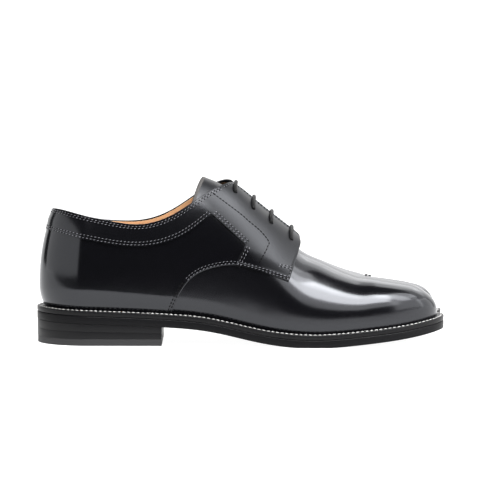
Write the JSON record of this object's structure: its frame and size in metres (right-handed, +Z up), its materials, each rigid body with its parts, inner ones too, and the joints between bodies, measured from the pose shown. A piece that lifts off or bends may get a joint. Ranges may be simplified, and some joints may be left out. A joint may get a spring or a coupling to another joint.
{
  "type": "split-toe lace-up derby shoe",
  "caption": "Black leather lace-up derby shoe with a split toe, open-laced facings, welted leather sole and a low stacked heel, for the right foot.",
  "frame": {"origin": "on the floor under the middle of the shoe's length and width", "axes": "+X to the toe, +Y to the inner (big toe) side, +Z up"},
  "size_m": [0.296, 0.103, 0.1196],
  "materials": {
    "upper_leather": "high-shine polished",
    "tongue_leather": "polished",
    "sole_leather": "black edge dressing",
    "welt_leather": "black edge dressing",
    "heel_rubber": "satin",
    "insole_leather": "natural",
    "lace_cord": "waxed braid"
  },
  "bodies": {
    "root": {"outsole": "sole_leather", "welt": "welt_leather", "heel_top_piece": "heel_rubber", "heel_lift_lower": "sole_leather", "heel_lift_upper": "sole_leather", "insole": "insole_leather", "upper": "upper_leather", "quarter_lateral": "upper_leather", "quarter_medial": "upper_leather", "facing_lateral": "upper_leather", "facing_medial": "upper_leather", "tongue": "tongue_leather", "lace_bar_1": "lace_cord", "lace_bar_2": "lace_cord", "lace_bar_3": "lace_cord", "lace_bar_4": "lace_cord"}
  },
  "joints": []
}
